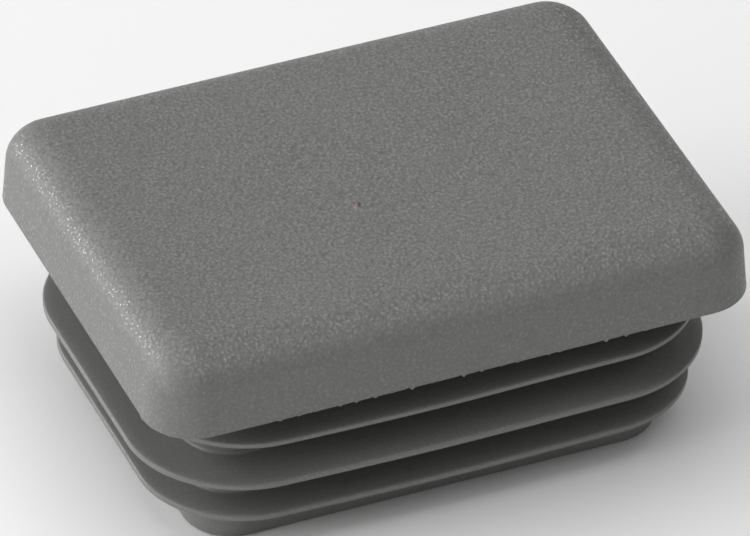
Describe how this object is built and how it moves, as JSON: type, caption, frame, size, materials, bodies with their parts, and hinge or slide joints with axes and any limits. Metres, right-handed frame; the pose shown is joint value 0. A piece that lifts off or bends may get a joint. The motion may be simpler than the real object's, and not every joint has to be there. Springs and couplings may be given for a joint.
{
  "type": "rectangular tube end cap",
  "caption": "Ribbed plug-in end cap for a rectangular tube: a flat head with rounded edges over a hollow plug ringed by thin fins that wedge inside the tube.",
  "frame": {"origin": "centre of the seat, the flat underside of the head that meets the end of the tube", "axes": "+Z out of the tube, through the middle of the head; +X along the cap's long side; +Y along its short side"},
  "size_m": [0.04, 0.03, 0.0171],
  "materials": {
    "grey_plastic": "fine spark grain on the head, satin on the plug"
  },
  "bodies": {
    "root": {"end_cap": "grey_plastic"}
  },
  "joints": []
}
